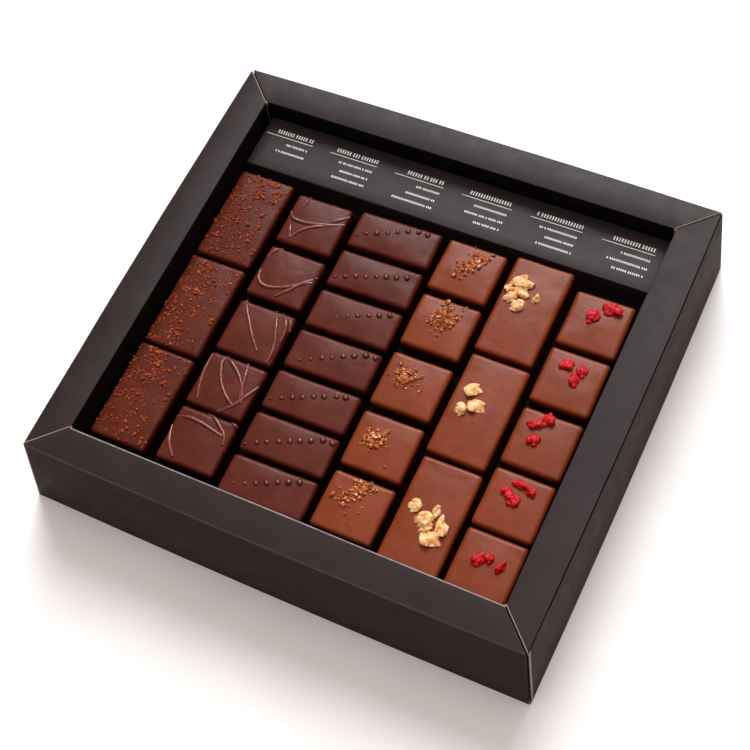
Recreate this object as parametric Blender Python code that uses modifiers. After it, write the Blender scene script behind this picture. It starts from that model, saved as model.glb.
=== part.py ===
"""A folded-card box of chocolate pralines: tray, raised floor, label card and six columns of pieces.

Units are metres and +Z is up. X runs along the row of columns, Y runs from the front of the box to
the label card at the back, and the origin is the middle of the base.
"""
import math
import random

import bmesh
import bpy
from mathutils import Matrix, Vector

MM = 0.001

# Tray: outer size at the rim, width of the border, and how far each wall leans out to the base and
# all of them bow outwards; the left and the front wall lean most, as the photo shows
BOX_WIDTH = 210 * MM
BOX_DEPTH = 191.5 * MM
BOX_HEIGHT = 42 * MM
BORDER_SIDE = 14 * MM
BORDER_FRONT = 13.4 * MM
LEAN_LEFT = 6.2 * MM
LEAN_RIGHT = 1.4 * MM
LEAN_FRONT = 5.8 * MM
LEAN_BACK = 1.4 * MM
BOW = 0.8 * MM
WALL_STEPS = 8
FOLD_RADIUS = 0.6 * MM
BASE_CARD = 0.8 * MM
SLIT_WIDTH = 0.5 * MM
SLIT_DEPTH = 0.8 * MM

# Everything is built about the middle of the rim and then shifted, so that the base is centred
RIM_SHIFT = ((LEAN_LEFT - LEAN_RIGHT) / 2, (LEAN_FRONT - LEAN_BACK) / 2)
WELL_WIDTH = BOX_WIDTH - 2 * BORDER_SIDE
WELL_DEPTH = BOX_DEPTH - 2 * BORDER_FRONT

# Clearance between pieces that rest on or beside each other
GAP = 0.3 * MM

# Raised floor under the chocolates
FLOOR_TOP = 19.7 * MM

# Label card: a folded strip along the back of the box, level with the chocolates
LABEL_DEPTH = 25.0 * MM
LABEL_TOP = 32.6 * MM
LABEL_SIDE_GAP = 1.2 * MM
LABEL_BACK_GAP = 0.4 * MM
LABEL_FOLD = 0.4 * MM

# Chocolates: common height, the lean of their sides and the radius of their coated edges
PIECE_HEIGHT = 12.0 * MM
SIDE_DRAFT = 0.4 * MM
EDGE_RADIUS = 0.9 * MM
PIECE_BOTTOM = FLOOR_TOP + GAP
PIECE_TOP = PIECE_BOTTOM + PIECE_HEIGHT
UNEVEN = 0.10 * MM

# Columns from left to right, in millimetres and degrees: the footprint of a piece, where the middle
# of the first piece and its back edge lie, how far each next piece slides to the right, the gaps
# between the pieces from back to front, and how far each piece is turned
COLUMNS = [
    dict(name="flake_bar", size=(25.5, 43.3), middle=-76.9, back=53.6, slide=0.1,
         gaps=[1.0, 0.6], turns=[0.1, 0.5, -0.1]),
    dict(name="drizzle_square", size=(25.8, 24.3), middle=-48.1, back=51.4, slide=0.35,
         gaps=[2.5, 2.7, 1.1, 0.9], turns=[0.8, -0.6, 0.1, -0.4, 1.0]),
    dict(name="bead_slab", size=(36.7, 17.7), middle=-13.9, back=53.4, slide=0.3,
         gaps=[1.9, 2.0, 1.7, 1.8, 1.5, 1.4], turns=[1.4, 1.0, 1.2, 1.3, 0.9, 1.0, 1.3]),
    dict(name="crystal_square", size=(25.9, 24.4), middle=19.9, back=53.5, slide=0.45,
         gaps=[2.1, 3.5, 2.7, 2.2], turns=[-0.2, 0.4, 0.4, 0.8, 0.1]),
    dict(name="nut_bar", size=(25.0, 45.0), middle=48.1, back=55.7, slide=0.85,
         gaps=[1.3, 1.1], turns=[0.2, 0.1, 0.4]),
    dict(name="berry_square", size=(24.7, 24.9), middle=76.0, back=49.8, slide=0.15,
         gaps=[1.6, 2.6, 1.6, 0.7], turns=[0.9, 0.3, 0.2, 0.1, 0.2]),
]

# Drizzle: the threads of each square as millimetre points from its middle, back edge at +Y
THREAD_RADIUS = 0.55 * MM
THREAD_STEPS = 3
THREADS = [
    [[(-10.9, 2.6), (-7.0, -0.4), (0.5, 0.5), (10.4, 5.2)],
     [(-9.8, -0.8), (-7.0, -8.4), (2.7, 2.2), (10.5, 7.2)]],
    [[(-10.9, -1.2), (-7.3, -7.0), (2.0, -4.5), (10.6, 4.0)],
     [(-0.5, -10.6), (4.4, -5.8), (8.5, -0.8), (10.9, 2.8)]],
    [[(-9.8, 10.8), (-5.6, 4.0), (0.5, -3.5), (4.1, -7.6)],
     [(3.5, 11.0), (8.4, 3.4), (10.4, -3.0), (10.3, -8.6)],
     [(6.6, 10.8), (9.6, 7.2), (10.6, 3.0)]],
    [[(-6.0, 10.6), (-5.2, 5.2), (-0.6, -1.6), (7.0, -6.6)],
     [(-5.2, 10.8), (1.8, 6.2), (7.4, -0.4), (8.9, -4.6)],
     [(8.6, -2.6), (9.6, 0.6), (10.8, 3.2)]],
    [[(-10.4, 6.2), (-4.9, 8.1), (3.2, 6.4), (10.6, 4.0)],
     [(-1.0, 11.0), (4.0, 10.2), (7.4, 7.8), (10.0, 4.6)],
     [(-10.9, 0.6), (-9.4, -3.9), (-5.4, -9.4)]],
]

# Beads: the first bead of each slab's diagonal row, its count, and the rise of the row
BEAD_STEP = 3.95
BEAD_RADIUS = 1.15 * MM
FIRST_BEAD_SHARE = 0.5
BEAD_SIDES = 8
BEAD_ROWS = [
    dict(start=(-15.6, -3.2), count=8, rise=0.42),
    dict(start=(-15.2, -4.4), count=8, rise=0.33),
    dict(start=(-6.4, -1.7), count=6, rise=0.42),
    dict(start=(-11.9, -4.6), count=8, rise=0.44),
    dict(start=(-15.2, -4.5), count=8, rise=0.41),
    dict(start=(-15.8, -6.0), count=9, rise=0.43),
    dict(start=(-12.3, -3.3), count=7, rise=0.39),
]

# Sugar crystals: where each square's band of them starts and ends, and how wide it is
CRYSTAL_SIZE = (0.55 * MM, 0.95 * MM)
CRYSTAL_COUNT = 16
CRYSTAL_BANDS = [
    dict(start=(-4.0, -3.4), end=(5.0, 8.4), spread=2.2),
    dict(start=(-2.4, -2.0), end=(3.2, 9.0), spread=3.6),
    dict(start=(-8.6, 1.6), end=(4.4, 1.6), spread=3.2),
    dict(start=(-4.4, 6.0), end=(-0.6, -3.0), spread=3.4),
    dict(start=(-3.4, -2.2), end=(3.0, 8.6), spread=3.8),
]

# Chopped almonds and dried berry pieces: middle, length, width and turn of each, in mm and degrees
NUT_HEIGHT = 2.6
NUTS = [
    [(-5.6, 10.9, 7.2, 4.2, 8), (-4.2, 7.2, 5.8, 4.0, -20), (-9.4, 6.6, 2.6, 3.4, 0),
     (-7.2, 3.2, 5.2, 3.6, 30), (-3.2, 0.4, 5.0, 4.6, -15), (2.4, 5.4, 2.6, 3.0, 0)],
    [(-5.2, 6.9, 5.4, 5.2, 10), (-1.1, 1.1, 5.8, 5.2, -15), (-6.1, -2.2, 4.4, 4.2, 35)],
    [(-6.3, 1.8, 4.8, 4.2, 20), (-1.0, -2.0, 6.8, 4.6, 25), (2.0, 2.4, 2.8, 4.0, 10),
     (1.0, -5.0, 4.6, 3.4, 50), (6.0, -2.4, 3.8, 6.2, 20), (4.2, -8.2, 6.4, 5.6, -10)],
]
BERRY_HEIGHT = 2.6
BERRIES = [
    [(-2.2, 2.4, 4.2, 6.4, -20), (3.9, 7.6, 7.2, 4.6, -5)],
    [(-3.6, 5.8, 4.2, 5.4, -50), (2.8, 5.2, 3.6, 5.0, 15), (1.3, 0.8, 3.6, 5.6, 25)],
    [(-1.0, 9.2, 4.2, 4.8, -5), (-5.2, 5.6, 5.2, 3.4, 0), (-3.2, -0.5, 4.4, 4.4, 20)],
    [(-4.4, 3.5, 3.8, 3.8, 0), (-0.3, 7.8, 5.4, 3.2, 0), (4.0, 6.6, 4.4, 3.2, -45),
     (-1.0, 1.2, 5.4, 4.4, -35)],
    [(-3.2, 1.1, 4.4, 5.0, 0), (0.6, 2.7, 2.6, 3.4, 0), (5.6, 0.6, 3.4, 6.0, -15)],
]

# Flakes scattered over the bars on the left
FLAKE_COUNT = 30
FLAKE_SIZE = (0.5 * MM, 1.1 * MM)
FLAKE_MARGIN = 1.8 * MM

# Colours as linear RGB, and roughness
CARD_BLACK = ((0.055, 0.047, 0.048), 0.72)
FLOOR_BLACK = ((0.012, 0.011, 0.011), 0.85)
LABEL_BLACK = ((0.050, 0.044, 0.046), 0.78)
DARK_CHOCOLATE = ((0.130, 0.046, 0.032), 0.42)
MILK_CHOCOLATE = ((0.290, 0.082, 0.046), 0.42)


def clear_scene():
    """Start from an empty scene."""
    for item in list(bpy.data.objects):
        bpy.data.objects.remove(item, do_unlink=True)


def make_collection(name, is_helper=False):
    """A collection in the scene; helpers hold cutters and shapes still to be joined."""
    group = bpy.data.collections.new(name)
    bpy.context.scene.collection.children.link(group)
    group.hide_render = is_helper
    return group


def make_material(name, finish):
    """A Principled material from a colour and a roughness."""
    colour, roughness = finish
    mat = bpy.data.materials.new(name)
    mat.use_nodes = True
    shader = mat.node_tree.nodes["Principled BSDF"]
    shader.inputs["Base Color"].default_value = (*colour, 1.0)
    shader.inputs["Roughness"].default_value = roughness
    shader.inputs["Metallic"].default_value = 0.0
    mat.diffuse_color = (*colour, 1.0)
    return mat


def object_from(bm, name, group):
    """Turn a finished bmesh into an object of a collection."""
    mesh = bpy.data.meshes.new(name)
    bm.to_mesh(mesh)
    bm.free()
    item = bpy.data.objects.new(name, mesh)
    group.objects.link(item)
    return item


def block_bmesh(size, centre=(0.0, 0.0, 0.0)):
    """A box of the given size about a centre."""
    bm = bmesh.new()
    bmesh.ops.create_cube(bm, size=1.0)
    bmesh.ops.scale(bm, vec=size, verts=bm.verts)
    bmesh.ops.translate(bm, vec=centre, verts=bm.verts)
    return bm


def apply_modifiers(item):
    """Replace an object's mesh by its evaluated one and drop its modifiers."""
    bpy.context.view_layer.update()
    evaluated = item.evaluated_get(bpy.context.evaluated_depsgraph_get())
    mesh = bpy.data.meshes.new_from_object(evaluated)
    item.modifiers.clear()
    item.data = mesh


def boolean_with(item, group, operation):
    """Cut or join an object with every object of a helper collection, then remove those."""
    change = item.modifiers.new(operation.lower(), "BOOLEAN")
    change.operation = operation
    change.operand_type = "COLLECTION"
    change.collection = group
    change.solver = "EXACT"
    apply_modifiers(item)
    for helper in list(group.objects):
        bpy.data.objects.remove(helper, do_unlink=True)


def round_edges(item, radius, segments):
    """Bevel modifier for all edges sharper than about 60 degrees."""
    bevel = item.modifiers.new("rounded edges", "BEVEL")
    bevel.width = radius
    bevel.segments = segments
    bevel.limit_method = "ANGLE"
    bevel.angle_limit = math.radians(60)


# The card tray

def tray_form(group):
    """The tray's outer form: walls that lean out to the base and bow a little along their length."""
    bm = block_bmesh((BOX_WIDTH, BOX_DEPTH, BOX_HEIGHT), (0.0, 0.0, BOX_HEIGHT / 2))
    level = [e for e in bm.edges if abs(e.verts[0].co.z - e.verts[1].co.z) < BOX_HEIGHT / 2]
    bmesh.ops.subdivide_edges(bm, edges=level, cuts=WALL_STEPS - 1)
    for vert in bm.verts:
        along_x = vert.co.x / (BOX_WIDTH / 2)
        along_y = vert.co.y / (BOX_DEPTH / 2)
        share_down = 1.0 - vert.co.z / BOX_HEIGHT
        lean = Vector(((LEAN_RIGHT if along_x > 0 else LEAN_LEFT) * share_down,
                       (LEAN_BACK if along_y > 0 else LEAN_FRONT) * share_down))
        bow_x = BOW * (1.0 - along_y ** 2) if abs(along_x) > 0.999 else 0.0
        bow_y = BOW * (1.0 - along_x ** 2) if abs(along_y) > 0.999 else 0.0
        vert.co.x += along_x * lean.x + math.copysign(bow_x, along_x)
        vert.co.y += along_y * lean.y + math.copysign(bow_y, along_y)
    rim = [e for e in bm.edges if min(v.co.z for v in e.verts) > BOX_HEIGHT - MM and len(
        [f for f in e.link_faces if abs(f.normal.z) < 0.5]) == 1]
    bmesh.ops.bevel(bm, geom=rim, offset=FOLD_RADIUS, segments=2, affect="EDGES", profile=0.5)
    return object_from(bm, "tray", group)


def corner_cutters(group):
    """Slits along the mitres of the border and down the seams at the four outer corners."""
    overrun = 2 * MM
    for side_x in (-1, 1):
        for side_y in (-1, 1):
            outer = Vector((side_x * BOX_WIDTH / 2, side_y * BOX_DEPTH / 2, BOX_HEIGHT))
            inner = Vector((side_x * WELL_WIDTH / 2, side_y * WELL_DEPTH / 2, BOX_HEIGHT))
            lean = Vector((side_x * (LEAN_RIGHT if side_x > 0 else LEAN_LEFT),
                           side_y * (LEAN_BACK if side_y > 0 else LEAN_FRONT), -BOX_HEIGHT))
            run = outer - inner
            mitre = run.to_track_quat("X", "Z").to_matrix().to_4x4()
            slit = block_bmesh((run.length + 2 * overrun, SLIT_WIDTH, 2 * SLIT_DEPTH))
            place = Matrix.Translation((inner + outer) / 2)
            bmesh.ops.transform(slit, matrix=place @ mitre, verts=slit.verts)
            object_from(slit, "mitre slit", group)
            seam = block_bmesh((2 * SLIT_DEPTH, SLIT_WIDTH, 2 * BOX_HEIGHT))
            spin = Matrix.Rotation(math.atan2(run.y, run.x), 4, "Z")
            tilt = lean.normalized().rotation_difference(Vector((0, 0, -1))).inverted()
            place = Matrix.Translation(outer + lean / 2)
            bmesh.ops.transform(seam, matrix=place @ tilt.to_matrix().to_4x4() @ spin,
                                verts=seam.verts)
            object_from(seam, "corner seam", group)


def build_tray(parts, cutters, mat):
    """Folded-card tray: a wide flat border round a well, mitred at the corners."""
    tray = tray_form(parts)
    well_size = (WELL_WIDTH, WELL_DEPTH, BOX_HEIGHT)
    object_from(block_bmesh(well_size, (0.0, 0.0, BASE_CARD + BOX_HEIGHT / 2)), "well", cutters)
    corner_cutters(cutters)
    boolean_with(tray, cutters, "DIFFERENCE")
    tray.data.materials.append(mat)


def build_raised_floor(parts, mat):
    """The card floor that lifts the chocolates towards the rim."""
    bottom = BASE_CARD + GAP
    width = WELL_WIDTH - 2 * GAP
    depth = WELL_DEPTH - 2 * GAP
    middle = (0.0, 0.0, (bottom + FLOOR_TOP) / 2)
    floor = object_from(block_bmesh((width, depth, FLOOR_TOP - bottom), middle), "raised_floor", parts)
    floor.data.materials.append(mat)


def build_label_card(parts, mat):
    """The folded strip along the back wall, which carries the names of the fillings."""
    bottom = PIECE_BOTTOM
    width = WELL_WIDTH - 2 * LABEL_SIDE_GAP
    back = WELL_DEPTH / 2 - LABEL_BACK_GAP
    middle = (0.0, back - LABEL_DEPTH / 2, (bottom + LABEL_TOP) / 2)
    card = object_from(block_bmesh((width, LABEL_DEPTH, LABEL_TOP - bottom), middle), "label_card", parts)
    round_edges(card, LABEL_FOLD, 1)
    card.data.materials.append(mat)


# Shapes for the toppings, all about the middle of a piece's flat top

def smooth_path(points, steps):
    """Catmull-Rom points through a thread's few hand-set points."""
    spots = [Vector((x * MM, y * MM, 0.0)) for x, y in points]
    spots = [2 * spots[0] - spots[1]] + spots + [2 * spots[-1] - spots[-2]]
    path = []
    for index in range(1, len(spots) - 2):
        a, b, c, d = spots[index - 1:index + 3]
        for step in range(steps):
            t = step / steps
            path.append(0.5 * (2 * b + (c - a) * t + (2 * a - 5 * b + 4 * c - d) * t * t
                               + (3 * b - a - 3 * c + d) * t ** 3))
    path.append(spots[-2])
    return path


def add_thread(points, group):
    """A piped thread of chocolate lying half sunk in the top: a curve made into a closed mesh."""
    path = smooth_path(points, THREAD_STEPS)
    curve = bpy.data.curves.new("thread", "CURVE")
    curve.dimensions = "3D"
    curve.bevel_depth = THREAD_RADIUS
    curve.bevel_resolution = 1
    curve.use_fill_caps = True
    spline = curve.splines.new("POLY")
    spline.points.add(len(path) - 1)
    for point, spot in zip(spline.points, path):
        point.co = (spot.x, spot.y, spot.z, 1.0)
    guide = bpy.data.objects.new("thread", curve)
    bpy.context.scene.collection.objects.link(guide)
    bpy.context.view_layer.update()
    evaluated = guide.evaluated_get(bpy.context.evaluated_depsgraph_get())
    mesh = bpy.data.meshes.new_from_object(evaluated)
    bpy.data.objects.remove(guide, do_unlink=True)
    bm = bmesh.new()
    bm.from_mesh(mesh)
    bmesh.ops.remove_doubles(bm, verts=bm.verts, dist=0.01 * MM)
    bmesh.ops.recalc_face_normals(bm, faces=bm.faces)
    object_from(bm, "thread", group)


def add_bead(x, y, radius, group):
    """A small drop of chocolate with a pulled tip."""
    bm = bmesh.new()
    bmesh.ops.create_uvsphere(bm, u_segments=BEAD_SIDES, v_segments=4, radius=radius)
    for vert in bm.verts:
        if vert.co.z > 0.9 * radius:
            vert.co.z = 1.15 * radius
    bmesh.ops.translate(bm, vec=(x, y, 0.0), verts=bm.verts)
    object_from(bm, "bead", group)


def add_grain(x, y, size, draw, group, flat=1.0):
    """A sugar crystal or a flake: a cube with its corners pulled about, turned any way."""
    bm = bmesh.new()
    bmesh.ops.create_cube(bm, size=1.0)
    for vert in bm.verts:
        vert.co += Vector([draw.uniform(-0.18, 0.18) for _ in range(3)])
    wide = size * draw.uniform(1.0, 1.5)
    bmesh.ops.scale(bm, vec=(wide, size, size * flat), verts=bm.verts)
    turn = Matrix.Rotation(draw.uniform(0, math.tau), 4, "Z") @ Matrix.Rotation(
        draw.uniform(-0.35, 0.35), 4, "X")
    bmesh.ops.transform(bm, matrix=Matrix.Translation((x, y, 0.2 * size * flat)) @ turn, verts=bm.verts)
    object_from(bm, "grain", group)


def add_nugget(spec, height, draw, group):
    """A craggy lump, such as a piece of almond or of dried berry, sunk a little into the top."""
    x, y, length, width, turn = spec
    bm = bmesh.new()
    bmesh.ops.create_icosphere(bm, subdivisions=2, radius=0.5)
    for vert in bm.verts:
        vert.co *= draw.uniform(0.86, 1.08)
    bmesh.ops.scale(bm, vec=(length * MM, width * MM, height * MM), verts=bm.verts)
    place = Matrix.Translation((x * MM, y * MM, 0.3 * height * MM))
    spin = Matrix.Rotation(math.radians(turn), 4, "Z")
    bmesh.ops.transform(bm, matrix=place @ spin, verts=bm.verts)
    object_from(bm, "nugget", group)


# One topping for each kind of chocolate

def flakes(index, size, group):
    """Fine flakes scattered over a bar, thicker towards its left and its back."""
    draw = random.Random(40 + index)
    half_x = size[0] / 2 - FLAKE_MARGIN
    half_y = size[1] / 2 - FLAKE_MARGIN
    placed = []
    while len(placed) < FLAKE_COUNT:
        x = half_x * (2 * draw.random() ** 1.25 - 1)
        y = half_y * (1 - 2 * draw.random() ** 1.15)
        grain = draw.uniform(*FLAKE_SIZE)
        if all(math.hypot(x - a, y - b) > 1.5 * FLAKE_SIZE[1] for a, b in placed):
            placed.append((x, y))
            add_grain(x, y, grain, draw, group, flat=0.6)


def drizzle(index, size, group):
    """Two or three piped threads across a square."""
    for points in THREADS[index]:
        add_thread(points, group)


def beads(index, size, group):
    """A diagonal row of piped beads that grow from the first one."""
    row = BEAD_ROWS[index]
    slope = math.atan(row["rise"])
    for number in range(row["count"]):
        share = min(1.0, FIRST_BEAD_SHARE + 0.22 * number)
        x = (row["start"][0] + number * BEAD_STEP * math.cos(slope)) * MM
        y = (row["start"][1] + number * BEAD_STEP * math.sin(slope)) * MM
        add_bead(x, y, BEAD_RADIUS * share, group)


def crystals(index, size, group):
    """A loose band of sugar crystals."""
    draw = random.Random(80 + index)
    band = CRYSTAL_BANDS[index]
    start = Vector(band["start"]) * MM
    end = Vector(band["end"]) * MM
    side = Vector((start.y - end.y, end.x - start.x)).normalized()
    for number in range(CRYSTAL_COUNT):
        along = (number + 0.5) / CRYSTAL_COUNT
        across = draw.uniform(-1, 1) * band["spread"] * MM
        spot = start.lerp(end, along) + side * across
        add_grain(spot.x, spot.y, draw.uniform(*CRYSTAL_SIZE), draw, group)


def nuts(index, size, group):
    """Pieces of chopped almond."""
    draw = random.Random(120 + index)
    for spec in NUTS[index]:
        add_nugget(spec, NUT_HEIGHT, draw, group)


def berries(index, size, group):
    """Pieces of dried berry."""
    draw = random.Random(160 + index)
    for spec in BERRIES[index]:
        add_nugget(spec, BERRY_HEIGHT, draw, group)


TOPPINGS = {
    "flake_bar": flakes, "drizzle_square": drizzle, "bead_slab": beads,
    "crystal_square": crystals, "nut_bar": nuts, "berry_square": berries,
}


def coated_block(name, size, group):
    """A coated chocolate about the middle of its top: sides lean in and every edge is rounded."""
    bm = block_bmesh((*size, PIECE_HEIGHT), (0.0, 0.0, -PIECE_HEIGHT / 2))
    for vert in bm.verts:
        if vert.co.z > -MM:
            vert.co.x -= math.copysign(SIDE_DRAFT, vert.co.x)
            vert.co.y -= math.copysign(SIDE_DRAFT, vert.co.y)
    block = object_from(bm, name, group)
    round_edges(block, EDGE_RADIUS, 2)
    apply_modifiers(block)
    return block


def build_columns(parts, toppings, materials):
    """Six columns of chocolates, each piece fused with its topping and set down in its place."""
    draw = random.Random(7)
    for column in COLUMNS:
        width, depth = (side * MM for side in column["size"])
        back = column["back"] * MM
        for index, turn in enumerate(column["turns"]):
            trim = draw.uniform(0, UNEVEN)
            size = (width - 2 * trim, depth - 2 * trim)
            piece = coated_block(f"{column['name']}_{index + 1}", size, parts)
            TOPPINGS[column["name"]](index, size, toppings)
            boolean_with(piece, toppings, "UNION")
            middle = (column["middle"] + index * column["slide"]) * MM
            piece.location = (middle, back - depth / 2, PIECE_TOP)
            piece.rotation_euler.z = math.radians(turn)
            piece.data.materials.clear()
            piece.data.materials.append(materials[column["name"]])
            if index < len(column["gaps"]):
                back -= depth + column["gaps"][index] * MM


def main():
    clear_scene()
    parts = make_collection("praline_box")
    cutters = make_collection("cutters", is_helper=True)
    toppings = make_collection("toppings to fuse", is_helper=True)
    dark = make_material("dark chocolate", DARK_CHOCOLATE)
    milk = make_material("milk chocolate", MILK_CHOCOLATE)
    build_tray(parts, cutters, make_material("black card", CARD_BLACK))
    build_raised_floor(parts, make_material("floor card", FLOOR_BLACK))
    build_label_card(parts, make_material("label card", LABEL_BLACK))
    build_columns(parts, toppings, {
        "flake_bar": dark, "drizzle_square": dark, "bead_slab": dark,
        "crystal_square": milk, "nut_bar": milk, "berry_square": milk,
    })
    for item in parts.objects:
        item.location.x += RIM_SHIFT[0]
        item.location.y += RIM_SHIFT[1]


main()
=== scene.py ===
"""An open box of decorated chocolates in a folded card tray: the looks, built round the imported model.

Lengths in the tables are millimetres, measured from the middle of the tray's rim. The row's origin is the
middle of the base, so every finished piece is moved by RIM_SHIFT and scaled by MM as the last step.
"""
import math
import random

import bmesh
import bpy
from mathutils import Matrix, Vector


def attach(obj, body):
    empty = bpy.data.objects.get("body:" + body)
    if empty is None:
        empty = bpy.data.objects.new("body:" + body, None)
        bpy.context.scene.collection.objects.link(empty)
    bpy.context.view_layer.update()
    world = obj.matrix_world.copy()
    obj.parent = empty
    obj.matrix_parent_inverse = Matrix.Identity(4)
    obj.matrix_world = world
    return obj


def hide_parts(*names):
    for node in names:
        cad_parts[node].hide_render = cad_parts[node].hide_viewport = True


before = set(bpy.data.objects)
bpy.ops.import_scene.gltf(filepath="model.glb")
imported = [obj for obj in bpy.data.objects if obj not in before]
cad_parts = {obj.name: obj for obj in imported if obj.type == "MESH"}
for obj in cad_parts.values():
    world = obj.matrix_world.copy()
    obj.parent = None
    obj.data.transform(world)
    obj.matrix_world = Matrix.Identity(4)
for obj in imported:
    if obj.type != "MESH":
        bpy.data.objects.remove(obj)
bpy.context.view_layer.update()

MM = 0.001

# The card tray
RIM = (105.0, 95.75)            # half the rim's width and depth
WELL = (91.0, 82.35)            # half the well's width and depth
BOX_HEIGHT = 41.87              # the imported 42 mm, less the rise of the card's waves
# How far the foot of each outer wall stands out past the rim
LEAN_LEFT, LEAN_RIGHT, LEAN_FRONT, LEAN_BACK = 6.2, 1.4, 5.8, 1.4
RIM_SHIFT = ((LEAN_LEFT - LEAN_RIGHT) / 2, (LEAN_FRONT - LEAN_BACK) / 2, 0.0)
BOW = 0.8                       # how far an outer wall bows out between its corners
BASE_CARD = 0.8                 # thickness of the base
CARD = 0.7                      # thickness of the card where its cut edge shows
SLIT = 0.7                      # width of the open gap along a mitre
LIP, FOLD, FOOT = 0.35, 0.45, 0.3   # rounding of the border's inner and outer edge, and of a wall's foot
GROOVE, GROOVE_DEPTH = 0.45, 0.7    # the pressed crease between the right border and its wall
RUBBED = 0.28                   # width of the pale, rubbed edge at some cut ends
FRAYED_RIGHT, FRAYED_FRONT = 1.5, 0.4   # width of the pale cut board down a wall's front or left end
LIP_HIGHLIGHT_WIDTH = 0.55                 # width of the pale line along the front side's inner lip, a painted highlight
MITRE_SPARE = 8.0               # how far a side runs past the rim before its mitres are cut

# Each side's axis, the way it faces and its marks. Rubbed lists the ends with a pale edge, -1 for the front
# or left end and 1 for the other; frayed is the width of cut board down the front or left end.
TRAY_SIDES = {
    # worn=True gives the front side a painted highlight along its inner lip
    "front side": dict(axis=1, sign=-1, lean=LEAN_FRONT, frayed=FRAYED_FRONT, worn=True),
    "right side": dict(axis=0, sign=1, lean=LEAN_RIGHT, pressed=True, rubbed=(-1,), frayed=FRAYED_RIGHT),
    "back side": dict(axis=1, sign=1, lean=LEAN_BACK, rubbed=(1,)),
    "left side": dict(axis=0, sign=-1, lean=LEAN_LEFT, rubbed=(-1, 1)),
}
# The tray's finishes, in the order of its material slots
CARD_FACE, CUT_EDGE, SHADOW, LIP_HIGHLIGHT, WALL_FACE, FOLD_FACE = range(6)

# The label strip along the back wall
LABEL_X = 89.8
LABEL_Y = (56.95, 81.95)
LABEL_TOP = 32.6

# The chocolates
PIECE_BOTTOM = 20.0
PIECE_HEIGHT = 12.0
PIECE_TOP = PIECE_BOTTOM + PIECE_HEIGHT
SIDE_DRAFT = 0.4                # how far each side is drawn in at the top
CROWN = 0.55                    # rise of the top at its middle
SHOULDER = 1.8                  # rounding of the top's edges
COLUMNS = {
    "flake_bar": dict(size=(25.5, 43.3), middle=-76.9, back=53.6, slide=0.1,
                      gaps=[1.0, 0.6], turns=[0.1, 0.5, -0.1]),
    "drizzle_square": dict(size=(25.8, 24.3), middle=-48.1, back=51.4, slide=0.35,
                           gaps=[2.5, 2.7, 1.1, 0.9], turns=[0.8, -0.6, 0.1, -0.4, 1.0]),
    "bead_slab": dict(size=(36.7, 17.7), middle=-13.9, back=53.4, slide=0.3,
                      gaps=[1.9, 2.0, 1.7, 1.8, 1.5, 1.4], turns=[1.4, 1.0, 1.2, 1.3, 0.9, 1.0, 1.3]),
    "crystal_square": dict(size=(25.9, 24.4), middle=19.9, back=53.5, slide=0.45,
                           gaps=[2.1, 3.5, 2.7, 2.2], turns=[-0.2, 0.4, 0.4, 0.8, 0.1]),
    "nut_bar": dict(size=(25.0, 45.0), middle=48.1, back=55.7, slide=0.85,
                    gaps=[1.3, 1.1], turns=[0.2, 0.1, 0.4]),
    "berry_square": dict(size=(24.7, 24.9), middle=76.0, back=49.8, slide=0.15,
                         gaps=[1.6, 2.6, 1.6, 0.7], turns=[0.9, 0.3, 0.2, 0.1, 0.2]),
}
DARK_COLUMNS = ("flake_bar", "drizzle_square", "bead_slab")

# Chocolate threads over the drizzle squares: points of each thread in its square's own frame
THREAD_RADIUS = 0.9
THREAD_SINK = 0.24              # how far a thread's middle line lies in the chocolate
THREADS = [
    [[(-12.0, 2.6), (-9.7, 0.0), (-6.0, -0.8), (0.5, 0.1), (6.4, 1.6), (12.0, 4.2)],
     [(-6.9, -9.0), (-4.1, -4.9), (0.9, -1.2), (6.4, 1.2)], [(-9.3, -3.6), (-8.2, -6.0), (-6.8, -9.4)],
     [(4.4, 2.0), (9.0, 5.2), (12.2, 8.4)], [(-8.0, 5.9), (-7.6, 9.0), (-7.6, 11.8)]],
    [[(-11.2, -0.6), (-10.0, -4.4), (-7.2, -6.6), (-1.5, -5.9), (5.7, -2.0), (8.9, 0.7), (12.2, 4.6)],
     [(0.2, -9.4), (4.4, -4.8), (7.4, -1.0), (11.6, 1.8)], [(-11.6, 6.0), (-10.0, 9.6), (-7.4, 11.6)]],
    [[(-10.2, 11.6), (-7.4, 7.2), (-4.7, 3.7), (-0.4, -1.9), (4.7, -7.4)],
     [(3.2, 11.8), (6.0, 7.2), (8.4, 1.6), (9.8, -2.2), (10.6, -6.6), (10.4, -10.8)],
     [(6.2, 11.8), (9.6, 8.4), (11.0, 4.4), (11.4, -0.4)], [(8.4, 11.8), (11.6, 8.6), (12.4, 5.4)]],
    [[(-6.1, 11.4), (-6.3, 8.2), (-5.0, 5.0), (-1.4, -0.7), (4.1, -5.5), (7.2, -7.1)],
     [(-6.1, 11.4), (-2.6, 9.6), (2.0, 6.4), (5.3, 3.0), (8.6, -2.3), (9.4, -5.0)],
     [(3.5, 11.6), (5.0, 7.4), (6.4, 2.2), (8.0, -3.6)],
     [(2.0, -11.2), (6.8, -6.8), (9.6, -1.6), (12.2, 4.4)],
     [(-11.9, 10.4), (-11.4, 2.6), (-9.8, -4.4), (-7.9, -9.5)]],
    [[(-12.2, 6.4), (-7.6, 7.4), (-2.0, 7.1), (4.1, 5.9), (9.5, 4.9)],
     [(-1.2, 11.8), (2.8, 10.6), (6.4, 8.1), (9.7, 5.2), (10.8, 1.6)],
     [(-12.2, 2.4), (-9.9, -4.1), (-5.5, -9.7)],
     [(9.6, 11.6), (11.4, 10.8), (12.4, 10.6)]],
]

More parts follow.
